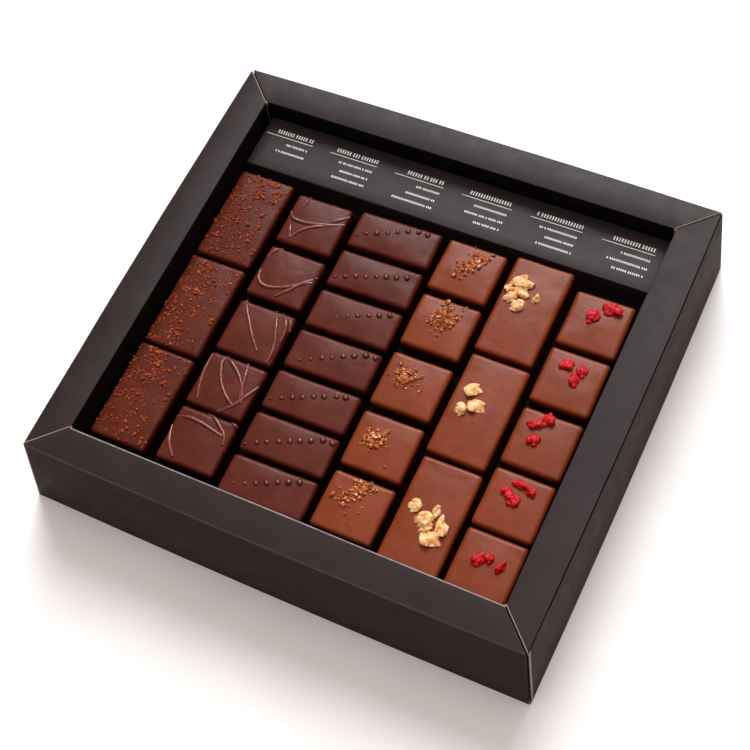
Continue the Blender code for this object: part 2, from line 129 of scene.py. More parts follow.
# Rows of chocolate beads over the slabs: the first bead's place, how many, and the row's climb
BEAD_STEP = 3.95
BEAD_RADIUS = 1.3
FIRST_BEAD_SHARE = 0.55         # the first bead's size, against a full one
LAST_BEAD_Y = 6.2               # a bead goes no nearer to the slab's back edge
BEAD_ROWS = [((-15.6, -3.2), 8, 0.42), ((-15.2, -4.4), 8, 0.33), ((-6.4, -1.7), 6, 0.42),
             ((-11.9, -4.6), 8, 0.44), ((-15.2, -4.5), 8, 0.41), ((-15.8, -6.0), 9, 0.43),
             ((-12.3, -3.3), 7, 0.39)]

# Caramel crystals: bands of them (from, to, spread, how many) and single ones
CRYSTAL_FIELD = (11.5, 11.0)    # no crystal of a band lies further out
CRYSTALS = [
    dict(bands=[((-3.8, -2.0), (4.2, 7.6), 1.5, 99)],
         single=[(-1.1, -4.2), (-1.3, 11.4), (-2.7, 7.5), (0.1, 9.1), (6.6, 10.1)]),
    dict(bands=[((-1.5, 1.5), (2.5, 6.5), 2.3, 106)],
         single=[(5.3, 10.3), (6.4, 11.2), (0.6, -4.5), (-5.4, -0.5)]),
    dict(bands=[((-6.6, 3.6), (0.4, 3.6), 1.5, 64), ((-4.6, 0.6), (-1.0, 0.8), 1.4, 35)],
         single=[(4.4, -1.4), (-10.1, 1.0)]),
    dict(bands=[((-5.6, -0.4), (-1.4, 3.6), 2.2, 99)],
         single=[(2.3, -0.1), (-3.5, -4.0), (4.7, -7.6)]),
    dict(bands=[((-4.9, -0.9), (1.2, 9.1), 1.4, 80), ((-2.1, 9.1), (5.1, 7.9), 1.1, 22)],
         single=[(-1.1, -3.7), (3.8, 0.9), (3.6, -1.4), (2.3, -6.7)]),
]

# Nuts and red fruit: x, y, length, width and turn of each lump. The plumpness scales a master's form to
# that length and width.
NUT_HEIGHT, NUT_PLUMPNESS = 2.9, 0.70
NUTS = [
    [(-5.6, 10.9, 7.2, 4.2, 8), (-4.2, 7.2, 5.8, 4.0, -20), (-9.4, 6.6, 2.6, 3.4, 0),
     (-7.2, 3.2, 5.2, 3.6, 30), (-3.2, 0.4, 5.0, 4.6, -15), (2.4, 5.4, 2.6, 3.0, 0)],
    [(-5.2, 6.9, 5.4, 5.2, 10), (-1.1, 1.1, 5.8, 5.2, -15), (-6.1, -2.2, 4.4, 4.2, 35)],
    [(-6.3, 1.8, 4.8, 4.2, 20), (-1.0, -2.0, 6.8, 4.6, 25), (2.0, 2.4, 2.8, 4.0, 10),
     (1.0, -5.0, 4.6, 3.4, 50), (6.0, -2.4, 3.8, 6.2, 20), (4.2, -8.2, 6.4, 5.6, -10)],
]
BERRY_HEIGHT, BERRY_PLUMPNESS = 2.7, 0.58
BERRIES = [
    [(-2.2, 2.4, 4.2, 6.4, -20), (3.9, 7.6, 7.2, 4.6, -5)],
    [(-3.6, 5.8, 4.2, 5.4, -50), (2.8, 5.2, 3.6, 5.0, 15), (1.3, 0.8, 3.6, 5.6, 25)],
    [(-1.0, 9.2, 4.2, 4.8, -5), (-5.2, 5.6, 5.2, 3.4, 0), (-3.2, -0.5, 4.4, 4.4, 20)],
    [(-4.4, 3.5, 3.8, 3.8, 0), (-0.3, 7.8, 5.4, 3.2, 0), (4.0, 6.6, 4.4, 3.2, -45),
     (-1.0, 1.2, 5.4, 4.4, -35)],
    [(-3.2, 1.1, 4.4, 5.0, 0), (0.6, 2.7, 2.6, 3.4, 0), (5.4, 1.2, 2.6, 5.2, -12)],
]

# Orange flakes over the first column: larger ones at these places, fine ones in between
FLAKES_PER_BAR = 520
FINE_FLAKE_FIELD = (11.8, 20.6) # the fine flakes lie in here
FLAKE_FIELD = (12.0, 21.0)      # and no flake lies past here
FLAKE_KNOTS = [
    [(3.1, -8.0), (5.6, -11.0), (-2.7, 18.1), (1.8, 17.6), (4.6, 18.6), (6.6, 15.6), (1.7, 12.2),
     (0.6, 10.7), (8.7, 10.5), (-2.3, -2.1), (2.4, -3.0), (5.9, -1.7), (7.1, 3.5), (10.6, -13.5)],
    [(2.1, -4.7), (8.8, -5.2), (-5.0, 15.0), (-8.0, 9.0), (-3.0, 5.0), (-7.0, -2.0), (-2.0, 18.0),
     (3.0, 11.0), (-6.0, -10.0), (0.0, -14.0)],
    [(-6.3, 20.1), (-3.1, 17.0), (-0.1, 14.8), (5.4, 14.1), (-2.6, 7.0), (-0.7, 9.2), (6.1, 6.2),
     (10.1, 3.0), (5.9, -9.1), (1.5, -14.2), (6.4, -15.5), (10.3, -17.6)],
]

# How uneven things are: the size of the hollows and swellings, and their height
CARD_WAVES = (34.0, 0.34)
LABEL_WAVES = (26.0, 0.22)
SLOW_HOLLOWS = (11.0, 0.34)
SMALL_DENTS = (3.2, 0.07)
THREAD_SWELL = (1.6, 0.22)
BEAD_DENTS = (1.4, 0.10)
NUT_BUMPS = (0.7, 0.13)
FRUIT_FOLDS = (0.70, 0.40)
FRUIT_WRINKLES = (0.30, 0.05)

# Plain printed bars on the label: the rules' centres and length, the length of the bar over each rule, and
# the lengths of the bars under it
RULE_FIRST, RULE_STEP, RULE_Y, RULE_LENGTH = -77.2, 30.45, 73.7, 22.2
HEADINGS = [17.0, 19.0, 16.5, 18.5, 19.5, 17.5]
PRINT_LINES = [[10.5, 13.6], [15.8, 13.5, 15.6], [10.2, 13.2, 18.0], [14.6, 17.2, 11.8],
               [16.4, 12.6, 15.0], [12.4, 16.8, 13.4]]
LINE_DROPS = (3.2, 7.1, 10.7)

# The camera, fitted to the corners of the tray and of the chocolates: its place, and its turn in degrees
EYE = (186.9, -223.4, 539.6)
EYE_TURN = (27.54, 8.06, 25.83)
LENS, SENSOR = 71.85, 36.0

FLOOR_WIDTH = 40.0

# A softbox behind, a wider one overhead, and a dim warm fill that is darkest in front
SOFTBOXES = [
    dict(name="back softbox", source=(-0.21, 0.68, 0.70), power=3.15, width=32.0, colour=(0.96, 0.985, 1.0)),
    dict(name="top softbox", source=(0.12, -0.05, 0.99), power=1.2, width=60.0, colour=(1.0, 0.91, 0.88)),
]
FILL, FILL_COLOUR = (0.07, 0.56), (1.0, 0.85, 0.80)
FILL_FROM = (0.0, 0.55, 0.83)

# Cards: tone, roughness from and to, and shine
CARDS = {
    "black card": ((0.0235, 0.0150, 0.0155), 0.36, 0.46, 0.14),
    "shadow card": ((0.0026, 0.0020, 0.0020), 0.6, 0.7, 0.15),
    "label card": ((0.0235, 0.0158, 0.0165), 0.36, 0.44, 0.17),
    "outer wall card": ((0.0345, 0.0195, 0.0190), 0.58, 0.70, 0.06),
}
# Card lightened by painted light along the front inner lip (a painted highlight) and along the folds: its
# tone where it is lightened least and most
PAINTED_LIGHT_CARDS = {
    "lip highlight card": ((0.12, 0.105, 0.100), (0.25, 0.22, 0.21)),
    "fold light card": ((0.024, 0.017, 0.017), (0.046, 0.036, 0.035)),
}
# Chocolates: deep and light tone, the glow inside, and roughness from and to with the shine
CHOCOLATES = {
    "dark chocolate": ((0.073, 0.0110, 0.0050), (0.097, 0.0172, 0.0086), (1.0, 0.35, 0.2),
                       (0.25, 0.35, 0.13)),
    "milk chocolate": ((0.160, 0.0252, 0.0048), (0.198, 0.0350, 0.0084), (1.0, 0.4, 0.2), (0.25, 0.35, 0.18)),
    "drizzle chocolate": ((0.110, 0.0190, 0.0100), (0.150, 0.0300, 0.0165), (1.0, 0.35, 0.2),
                          (0.24, 0.32, 0.55)),
    "bead chocolate": ((0.085, 0.0160, 0.0090), (0.115, 0.0240, 0.0140), (1.0, 0.35, 0.2),
                       (0.14, 0.20, 0.85)),
}
FULL_TURN = 6.28                # radians


# Ways of working

def put_down():
    """Back to object mode with nothing picked."""
    if bpy.context.object and bpy.context.object.mode != "OBJECT":
        bpy.ops.object.mode_set(mode="OBJECT")
    for item in list(bpy.context.selected_objects):
        item.select_set(False)


def take(*items):
    """Only these pieces are picked, the first of them active."""
    put_down()
    for item in items:
        item.select_set(True)
    bpy.context.view_layer.objects.active = items[0]


def named(item, name):
    item.name = item.data.name = name
    return item


def start_block(name, low, high):
    """A block between two corners, ready to be shaped."""
    put_down()
    middle = [(a + b) / 2 for a, b in zip(low, high)]
    size = [b - a for a, b in zip(low, high)]
    bpy.ops.mesh.primitive_cube_add(size=1, location=middle, scale=size)
    item = named(bpy.context.object, name)
    bpy.ops.object.transform_apply(location=True, rotation=True, scale=True)
    return item


def start_lump(name, fineness):
    """A round start of radius 1."""
    put_down()
    bpy.ops.mesh.primitive_ico_sphere_add(subdivisions=fineness, radius=1)
    return named(bpy.context.object, name)


def pick(item, kind, wanted):
    """Edit mode on the piece, with the corners, edges or faces picked that wanted() accepts."""
    take(item)
    bpy.ops.object.mode_set(mode="EDIT")
    bpy.context.tool_settings.mesh_select_mode = (kind == "VERT", kind == "EDGE", kind == "FACE")
    form = bmesh.from_edit_mesh(item.data)
    for group in (form.verts, form.edges, form.faces):
        for part in group:
            part.select_set(False)
    parts = dict(VERT=form.verts, EDGE=form.edges, FACE=form.faces)[kind]
    form.normal_update()
    for part in [p for p in parts if wanted(p)]:
        part.select_set(True)
    form.select_flush_mode()
    bmesh.update_edit_mesh(item.data)


def everything(part):
    return True


def along(axis, length=1.0):
    """A vector of this length along an axis."""
    vector = Vector((0, 0, 0))
    vector[axis] = length
    return vector


def score(item, wanted, point, across):
    """A row of edges where a plane crosses the faces that wanted() accepts."""
    pick(item, "FACE", wanted)
    bpy.ops.mesh.bisect(plane_co=point, plane_no=across)
    put_down()


def slice_rows(item, axis, places):
    """Rows of edges across the whole piece, at these places along an axis."""
    for place in places:
        score(item, everything, along(axis, place), along(axis))


def cut_away(item, point, across):
    """Takes off what lies beyond a plane and closes the cut."""
    pick(item, "FACE", everything)
    bpy.ops.mesh.bisect(plane_co=point, plane_no=across, use_fill=True, clear_outer=True)
    put_down()


def round_edges(item, wanted, radius, segments=3, profile=0.5):
    pick(item, "EDGE", wanted)
    bpy.ops.mesh.bevel(offset=radius, segments=segments, profile=profile, affect="EDGES")
    put_down()


def apply_all(item):
    take(item)
    for change in list(item.modifiers):
        bpy.ops.object.modifier_apply(modifier=change.name)


def share_out(item, change, weights):
    """Each corner takes its own share, weights() of its place, of a modifier's effect."""
    group = item.vertex_groups.new(name="share")
    for corner in item.data.vertices:
        group.add([corner.index], weights(corner.co), "REPLACE")
    change.vertex_group = "share"


def swell(item, weights, direction, amount):
    """Moves corners by their share of an amount along one axis."""
    change = item.modifiers.new("swell", "DISPLACE")
    share_out(item, change, weights)
    change.direction, change.strength, change.mid_level = direction, amount, 0.0
    apply_all(item)
    item.vertex_groups.clear()


def clouds(name, waves):
    """A pattern of hollows and swellings with their height, for make_uneven."""
    size, height = waves
    pattern = bpy.data.textures.new(name, "CLOUDS")
    pattern.noise_scale, pattern.noise_depth = size, 2
    return pattern, height


def make_uneven(item, waves, weights=None):
    """Hollows and swellings over a piece, or only where weights() lets them be."""
    change = item.modifiers.new("uneven", "DISPLACE")
    if weights:
        share_out(item, change, weights)
    change.texture, change.strength = waves
    change.texture_coords, change.mid_level = "LOCAL", 0.5
    apply_all(item)
    item.vertex_groups.clear()


def smooth(item, angle=40):
    take(item)
    bpy.ops.object.shade_smooth_by_angle(angle=math.radians(angle))


def copy_to(master, name, place):
    """A copy with its own mesh, moved to its place."""
    twin = master.copy()
    twin.data = master.data.copy()
    named(twin, name)
    bpy.context.scene.collection.objects.link(twin)
    twin.data.transform(place)
    return twin


def join(name, items):
    take(*items)
    if len(items) > 1:
        bpy.ops.object.join()
    return named(bpy.context.object, name)


def throw_out(*items):
    put_down()
    for item in items:
        bpy.data.objects.remove(item)


def dress(item, *finishes):
    item.data.materials.clear()
    for finish in finishes:
        item.data.materials.append(finish)


def settle(item, slot, *nodes):
    """The finished piece goes to its place in the row frame, in metres, and rides there."""
    item.data.transform(Matrix.Scale(MM, 4) @ Matrix.Translation(RIM_SHIFT))
    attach(item, "root")
    if nodes:
        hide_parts(*nodes)


def places_in(column):
    """The middle and turn of each chocolate in a column, from the back to the front."""
    rows = []
    back = column["back"]
    for index, turn in enumerate(column["turns"]):
        depth = column["size"][1]
        x = column["middle"] + index * column["slide"]
        rows.append(Matrix.Translation((x, back - depth / 2, PIECE_TOP))
                    @ Matrix.Rotation(math.radians(turn), 4, "Z"))
        back -= depth + (column["gaps"] + [0])[index]
    return rows


# Finishes

class Finish:
    """A material whose colour, roughness and relief come from patterns on the piece itself."""

    def __init__(self, name):
        self.material = bpy.data.materials.new(name)
        self.material.use_nodes = True
        self.tree = self.material.node_tree
        self.shader = self.tree.nodes["Principled BSDF"]
        self.place = self.tree.nodes.new("ShaderNodeTexCoord").outputs["Object"]

    def node(self, kind, **values):
        made = self.tree.nodes.new(kind)
        for key, value in values.items():
            if key in made.inputs:
                made.inputs[key].default_value = value
            else:
                setattr(made, key, value)
        return made

    def link(self, source, target):
        self.tree.links.new(source, target)

    def noise(self, size, detail=3.0, roughness=0.5, stretch=None):
        """A soft pattern with features of about this size in millimetres."""
        made = self.node("ShaderNodeTexNoise", Scale=1 / (size * MM), Detail=detail, Roughness=roughness)
        place = self.place
        if stretch:
            turned = self.node("ShaderNodeMapping")
            turned.inputs["Scale"].default_value = stretch
            self.link(place, turned.inputs["Vector"])
            place = turned.outputs["Vector"]
        self.link(place, made.inputs["Vector"])
        return made.outputs["Fac"]

    def cells(self, size):
        made = self.node("ShaderNodeTexVoronoi", Scale=1 / (size * MM))
        self.link(self.place, made.inputs["Vector"])
        return made.outputs["Distance"]

    def span(self, source, low, high, to_low, to_high):
        made = self.node("ShaderNodeMapRange")
        for key, value in (("From Min", low), ("From Max", high), ("To Min", to_low), ("To Max", to_high)):
            made.inputs[key].default_value = value
        self.link(source, made.inputs["Value"])
        return made.outputs["Result"]

    def ramp(self, source, *stops):
        made = self.node("ShaderNodeValToRGB")
        scale = made.color_ramp
        while len(scale.elements) < len(stops):
            scale.elements.new(0.5)
        for element, (position, colour) in zip(scale.elements, stops):
            element.position, element.color = position, (*colour, 1.0)
        self.link(source, made.inputs["Fac"])
        return made.outputs["Color"]

    def mix(self, share, first, second):
        made = self.node("ShaderNodeMix", data_type="RGBA")
        self.link(share, made.inputs["Factor"])
        for value, socket in ((first, made.inputs[6]), (second, made.inputs[7])):
            if isinstance(value, tuple):
                socket.default_value = (*value, 1.0)
            else:
                self.link(value, socket)
        return made.outputs[2]

    def colour(self, source):
        self.link(source, self.shader.inputs["Base Color"])

    def rough(self, source):
        self.link(source, self.shader.inputs["Roughness"])

    def relief(self, *layers):
        """Bump layers: (pattern, height in millimetres)."""
        normal = None
        for source, height in layers:
            bump = self.node("ShaderNodeBump", Strength=1.0, Distance=height * MM)
            self.link(source, bump.inputs["Height"])
            if normal:
                self.link(normal, bump.inputs["Normal"])
            normal = bump.outputs["Normal"]
        self.link(normal, self.shader.inputs["Normal"])

    def plain(self, **values):
        for key, value in values.items():
            self.shader.inputs[key.replace("_", " ")].default_value = value


def chocolate(name):
    """Satin chocolate: slow changes of tone, a fine bloom, small pits, and painted shade that darkens the
    flanks downwards, for the shade deep in the gaps between pieces.
    """
    deep, light, glow, (smoothest, roughest, shine) = CHOCOLATES[name]
    made = Finish(name)
    slow = made.noise(9.0, 3.0)
    bloom = made.noise(0.9, 4.0, 0.6)
    tone = made.ramp(slow, (0.34, deep), (0.66, light))
    pale = tuple(min(1.0, c * 1.25 + 0.004) for c in light)
    top = made.mix(made.span(bloom, 0.52, 0.8, 0.0, 0.35), tone, pale)
    height = made.node("ShaderNodeSeparateXYZ")
    made.link(made.place, height.inputs["Vector"])

    def below_top(start, end, first=0.0, last=1.0):
        """Goes from first to last between two depths under the top."""
        return made.span(height.outputs["Z"], (PIECE_TOP - start) * MM, (PIECE_TOP - end) * MM, first, last)

    # Painted shade: from just under the top the colour goes to a dark orange-brown and then nearly black,
    # standing in for the shade down the sides in the gaps.
    edge = tuple(c * k for c, k in zip(light, (0.50, 0.30, 0.20)))
    painted_flank_shade = made.mix(below_top(2.0, 4.2), edge, tuple(c * 0.10 for c in deep))
    made.colour(made.mix(below_top(0.7, 2.0), top, painted_flank_shade))
    satin = made.node("ShaderNodeMath", operation="MULTIPLY")
    made.link(made.span(made.noise(3.0, 4.0), 0.3, 0.7, smoothest, roughest), satin.inputs[0])
    made.link(below_top(-0.1, 0.4, 1.0, 0.72), satin.inputs[1])
    made.rough(satin.outputs[0])
    made.relief((made.noise(5.0, 2.0), 0.10), (made.noise(0.55, 3.0), 0.018), (bloom, 0.02))
    made.plain(IOR=1.46, Specular_IOR_Level=shine, Subsurface_Weight=0.12, Subsurface_Scale=0.0012,
               Subsurface_Radius=glow)
    return made.material


def card(name):
    """Matt coated card: faint mottling, rubbed places and short fibres."""
    tone, smoothest, roughest, shine = CARDS[name]
    made = Finish(name)
    mottle = made.noise(14.0, 4.0, 0.6)
    fibre = made.noise(0.7, 2.0, 0.6, stretch=(1.0, 0.35, 0.35))
    darker = tuple(c * 0.82 for c in tone)
    lighter = tuple(c * 1.16 for c in tone)
    base = made.ramp(mottle, (0.3, darker), (0.7, lighter))
    made.colour(made.mix(made.span(fibre, 0.35, 0.75, 0.0, 0.3), base, tuple(c * 1.4 for c in tone)))
    made.rough(made.span(made.noise(6.0, 3.0), 0.3, 0.7, smoothest, roughest))
    made.relief((made.noise(30.0, 2.0), 0.25), (fibre, 0.02))
    made.plain(IOR=1.45, Specular_IOR_Level=shine)
    return made.material


def raw_card(name):
    """The grey-brown cut edge of the board."""
    made = Finish(name)
    fibre = made.noise(0.5, 3.0)
    made.colour(made.ramp(fibre, (0.3, (0.19, 0.125, 0.095)), (0.7, (0.36, 0.265, 0.21))))
    made.relief((fibre, 0.05))
    made.plain(Roughness=0.85)
    return made.material


def painted_light_card(name):
    """Painted light on the coating: a softer, lighter grey along the inner lip (a painted highlight) and
    along the folds.
    """
    least, most = PAINTED_LIGHT_CARDS[name]
    made = Finish(name)
    blotches = made.noise(2.2, 3.0, 0.6)
    made.colour(made.ramp(blotches, (0.3, least), (0.6, most)))
    made.rough(made.span(blotches, 0.3, 0.7, 0.6, 0.75))
    made.relief((made.noise(0.5, 3.0), 0.03))
    return made.material


def print_ink(name):
    made = Finish(name)
    blotches = made.noise(0.8, 3.0)
    made.colour(made.ramp(blotches, (0.3, (0.62, 0.60, 0.60)), (0.6, (0.86, 0.85, 0.85))))
    made.plain(Roughness=0.6)
    return made.material


def caramel_crystal(name):
    made = Finish(name)
    grain = made.noise(1.1, 2.0)
    made.colour(made.ramp(grain, (0.35, (0.20, 0.034, 0.006)), (0.47, (0.37, 0.085, 0.014)),
                          (0.59, (0.56, 0.18, 0.044)), (0.73, (0.88, 0.55, 0.33))))
    made.relief((made.noise(0.35, 2.0), 0.03))
    made.plain(Roughness=0.22, IOR=1.5, Subsurface_Weight=0.35, Subsurface_Scale=0.0008,
               Subsurface_Radius=(1.0, 0.5, 0.2))
    return made.material


def orange_flake(name):
    made = Finish(name)
    each = made.noise(0.8, 1.0)
    made.colour(made.ramp(each, (0.34, (0.085, 0.008, 0.002)), (0.48, (0.20, 0.024, 0.003)),
                          (0.60, (0.38, 0.058, 0.004)), (0.76, (0.60, 0.13, 0.009))))
    made.relief((made.noise(0.3, 2.0), 0.03))
    made.plain(Roughness=0.6, Specular_IOR_Level=0.2)
    return made.material


def almond(name):
    made = Finish(name)
    broad = made.noise(2.6, 3.0)
    fine = made.noise(0.5, 3.0)
    tone = made.ramp(broad, (0.38, (0.62, 0.24, 0.060)), (0.50, (0.84, 0.46, 0.175)),
                     (0.64, (0.95, 0.67, 0.36)))
    made.colour(made.mix(made.span(fine, 0.5, 0.8, 0.0, 0.45), tone, (1.0, 0.83, 0.57)))
    made.rough(made.span(fine, 0.3, 0.7, 0.42, 0.62))
    made.relief((made.noise(1.1, 3.0), 0.07), (fine, 0.03))
    made.plain(Subsurface_Weight=0.22, Subsurface_Scale=0.0012, Subsurface_Radius=(1.0, 0.6, 0.3))
    return made.material


def red_fruit(name):
    made = Finish(name)
    flesh = made.noise(1.3, 4.0, 0.6)
    creases = made.cells(1.1)
    made.colour(made.ramp(flesh, (0.34, (0.20, 0.0010, 0.002)), (0.50, (0.50, 0.003, 0.009)),
                          (0.66, (0.76, 0.015, 0.028))))
    made.relief((creases, 0.03), (made.noise(0.6, 2.0), 0.02))
    made.plain(Roughness=0.42, IOR=1.46, Specular_IOR_Level=0.25, Subsurface_Weight=0.15,
               Subsurface_Scale=0.0008, Subsurface_Radius=(1.0, 0.12, 0.08))
    return made.material


def studio_floor(name):
    made = Finish(name)
    made.colour(made.ramp(made.noise(40.0, 2.0), (0.3, (0.86, 0.855, 0.85)), (0.7, (0.90, 0.895, 0.89))))
    made.plain(Roughness=0.6)
    return made.material


# The tray

def mitre_plane(side_x, side_y):
    """A mitre's plane: through the rim's outer and inner corner and the outer corner of the base."""
    outer = Vector((side_x * RIM[0], side_y * RIM[1], BOX_HEIGHT))
    inner = Vector((side_x * WELL[0], side_y * WELL[1], BOX_HEIGHT))
    foot = Vector((side_x * (RIM[0] + (LEAN_RIGHT if side_x > 0 else LEAN_LEFT)),
                   side_y * (RIM[1] + (LEAN_BACK if side_y > 0 else LEAN_FRONT)), 0.0))
    return outer, (outer - inner).cross(foot - outer).normalized()


def tray_side(name, finishes, axis, sign, lean, pressed=False, rubbed=(), frayed=0, worn=False):
    """One folded side: flat border, leaning outer wall and upright inner wall, cut to its two mitres."""
    other = 1 - axis
    reach = RIM[other] + MITRE_SPARE
    low, high = [0, 0, 0], [0, 0, BOX_HEIGHT]
    low[axis], high[axis] = sorted((sign * WELL[axis], sign * RIM[axis]))
    low[other], high[other] = -reach, reach
    side = start_block(name, low, high)

    def outer_face(co):
        return sign * co[axis] > RIM[axis] - 0.5

    pick(side, "VERT", lambda v: outer_face(v.co) and v.co.z < 1)
    bpy.ops.transform.translate(value=along(axis, sign * lean))
    pick(side, "EDGE", lambda e: abs(e.verts[0].co[other] - e.verts[1].co[other]) > reach)
    bpy.ops.mesh.subdivide(number_cuts=23)
    put_down()
    swell(side, lambda co: max(0.0, 1 - (co[other] / RIM[other]) ** 2) if outer_face(co) else 0.0,
          "XY"[axis], sign * BOW)
    long_edge = {
        "fold": lambda e: all(outer_face(v.co) and v.co.z > BOX_HEIGHT - 0.1 for v in e.verts),
        "lip": lambda e: all(sign * v.co[axis] < WELL[axis] + 0.1 and v.co.z > BOX_HEIGHT - 0.1
                             for v in e.verts),
        "foot": lambda e: all(outer_face(v.co) and v.co.z < 0.1 for v in e.verts),
    }
    if pressed:
        round_edges(side, long_edge["fold"], GROOVE, 2)
        pick(side, "VERT", lambda v: outer_face(v.co) and 0.1 * GROOVE < BOX_HEIGHT - v.co.z < 0.6 * GROOVE)
        bpy.ops.transform.translate(value=along(axis, -sign * GROOVE_DEPTH) + along(2, -GROOVE_DEPTH))
        put_down()
    else:
        round_edges(side, long_edge["fold"], FOLD, 3)
    round_edges(side, long_edge["lip"], LIP, 3)
    # A row of edges where the painted highlight along the inner lip ends
    if worn:
        score(side, lambda f: f.normal.z > 0.9, along(axis, sign * (WELL[axis] + LIP_HIGHLIGHT_WIDTH)), along(axis))
    round_edges(side, long_edge["foot"], FOOT, 2)
    rubbed_ends, frayed_end = [], None
    for end in (-1, 1):
        signs = [0, 0]
        signs[axis], signs[other] = sign, end
        point, across = mitre_plane(*signs)
        if across[other] * end < 0:
            across = -across
        cut_away(side, point - across * SLIT / 2, across)
        if end in rubbed:
            score(side, everything, point - across * (SLIT / 2 + RUBBED), across)
            rubbed_ends.append((point, across))
        if frayed and end == -1:
            score(side, lambda f: f.normal[axis] * sign > 0.9, point - across * (SLIT / 2 + frayed), across)
            frayed_end = (point, across)

    def cut_end(face):
        return abs(face.normal[other]) > 0.5 and abs(face.normal[axis]) > 0.2 and face.calc_area() > 20

    score(side, cut_end, along(2, BOX_HEIGHT - CARD), along(2))
    wall = (along(axis, sign * BOX_HEIGHT) + along(2, lean)).normalized()
    point = along(axis, sign * RIM[axis]) + along(2, BOX_HEIGHT)
    score(side, cut_end, point - wall * CARD, wall)
    dress(side, *finishes)
    for face in side.data.polygons:
        if outer_face(face.center) and face.normal[axis] * sign > 0.95:
            face.material_index = WALL_FACE
        groove = any(outer_face(co) and 0.6 < BOX_HEIGHT - co.z < 1.2
                     for co in (side.data.vertices[k].co for k in face.vertices))
        if pressed and groove:
            face.material_index = SHADOW
            continue
        if frayed_end and face.material_index == WALL_FACE:
            if abs((frayed_end[0] - face.center).dot(frayed_end[1])) < SLIT / 2 + frayed:
                face.material_index = CUT_EDGE
        if any(abs((corner - face.center).dot(across)) < SLIT / 2 + RUBBED for corner, across in rubbed_ends):
            face.material_index = CUT_EDGE
            continue
        # The faces along the inner lip take the pale lip card: a painted highlight
        if worn and sign * face.center[axis] < WELL[axis] + LIP_HIGHLIGHT_WIDTH and face.normal.z > 0.3:
            face.material_index = LIP_HIGHLIGHT
            continue
        # The rounded fold faces take the lighter fold card: painted light where the fold catches the light
        if outer_face(face.center) and 0.3 < face.normal.z < 0.97 and not pressed:
            face.material_index = FOLD_FACE
            continue
        if abs(face.normal[other]) > 0.5 and abs(face.normal[axis]) > 0.2:
            if face.center.z > BOX_HEIGHT - CARD or (face.center - point).dot(wall) > -CARD:
                face.material_index = CUT_EDGE
        elif face.normal[axis] * sign < -0.9:
            face.material_index = SHADOW
    return side


def make_tray(*finishes):
    """The four sides and the base, with a core and a pale tab of card in each open corner."""
    sides = [tray_side(name, finishes, **marks) for name, marks in TRAY_SIDES.items()]
    base = start_block("base card", (-WELL[0] - 1, -WELL[1] - 1, 0.05), (WELL[0] + 1, WELL[1] + 1, BASE_CARD))
    round_edges(base, everything, 0.15, 2)
    dress(base, finishes[CARD_FACE])
    sides.append(base)
    for sx in (-1, 1):
        for sy in (-1, 1):
            for reach in ((0.06, -2.0), (-2.0, 0.06)):
                near = (sx * (WELL[0] + reach[0]), sy * (WELL[1] + reach[1]))
                far = (sx * (RIM[0] - 0.9), sy * (RIM[1] - 0.9))
                low = (min(near[0], far[0]), min(near[1], far[1]), 0.3)
                high = (max(near[0], far[0]), max(near[1], far[1]), BOX_HEIGHT - 1.5)
                core = start_block("corner core", low, high)
                round_edges(core, everything, 0.05, 1)
                dress(core, finishes[SHADOW])
                sides.append(core)
            tab_x, tab_y = sx * (WELL[0] - 0.1), sy * (WELL[1] - 0.1)
            tab = start_block("corner tab", (tab_x - 0.35, tab_y - 0.35, BOX_HEIGHT - 2.6),
                              (tab_x + 0.35, tab_y + 0.35, BOX_HEIGHT - 0.25))
            round_edges(tab, everything, 0.12, 2)
            dress(tab, finishes[CUT_EDGE])
            sides.append(tab)
    tray = join("folded_tray", sides)
    make_uneven(tray, clouds("card waves", CARD_WAVES), lambda co: min(1.0, max(0.0, (co.z - 2) / 8)))
    smooth(tray, 35)
    settle(tray, "black_card", "tray")


def make_label(card_finish):
    label = start_block("label_strip", (-LABEL_X, LABEL_Y[0], PIECE_BOTTOM), (LABEL_X, LABEL_Y[1], LABEL_TOP))
    round_edges(label, lambda e: all(v.co.z > LABEL_TOP - 0.1 for v in e.verts), 0.5, 4)
    slice_rows(label, 0, [-LABEL_X + LABEL_X * 2 * k / 24 for k in range(1, 24)])
    slice_rows(label, 1, [LABEL_Y[0] + (LABEL_Y[1] - LABEL_Y[0]) * k / 5 for k in range(1, 5)])
    make_uneven(label, clouds("label waves", LABEL_WAVES))
    dress(label, card_finish)
    smooth(label, 40)
    settle(label, "label_card", "label_card")


def make_print(ink):
    """Plain rules and short bars in place of the words on the strip."""
    draw = random.Random(5)
    stamp = start_block("stamp", (-0.5, -0.5, 0), (0.5, 0.5, 1))
    round_edges(stamp, lambda e: abs(e.verts[0].co.z - e.verts[1].co.z) > 0.5, 0.12, 2)
    marks = []

    def bar(x, y, length, height):
        place = (Matrix.Translation((x, y, LABEL_TOP - 0.05))
                 @ Matrix.Diagonal((length, height, 0.13, 1.0)))
        marks.append(copy_to(stamp, "mark", place))

    def row(left, y, length, height, step):
        x = left
        while x < left + length - step * 0.4:
            width = min(step * 0.5, left + length - x)
            bar(x + width / 2, y, width, height)
            x += width + (step * 1.0 if draw.random() < 0.14 else step * 0.5)

    for index, (heading, lines) in enumerate(zip(HEADINGS, PRINT_LINES)):
        centre = RULE_FIRST + RULE_STEP * index
        right = centre + RULE_LENGTH / 2
        bar(centre, RULE_Y, RULE_LENGTH, 0.26)
        row(right - heading - 0.6, RULE_Y + 2.2, heading, 1.8, 1.15)
        for drop, length in zip(LINE_DROPS, lines):
            row(right - length - 0.6, RULE_Y - drop, length, 0.95, 0.85)
    throw_out(stamp)
    sheet = join("label_print", marks)
    dress(sheet, ink)
    settle(sheet, "label_card")


# The chocolates

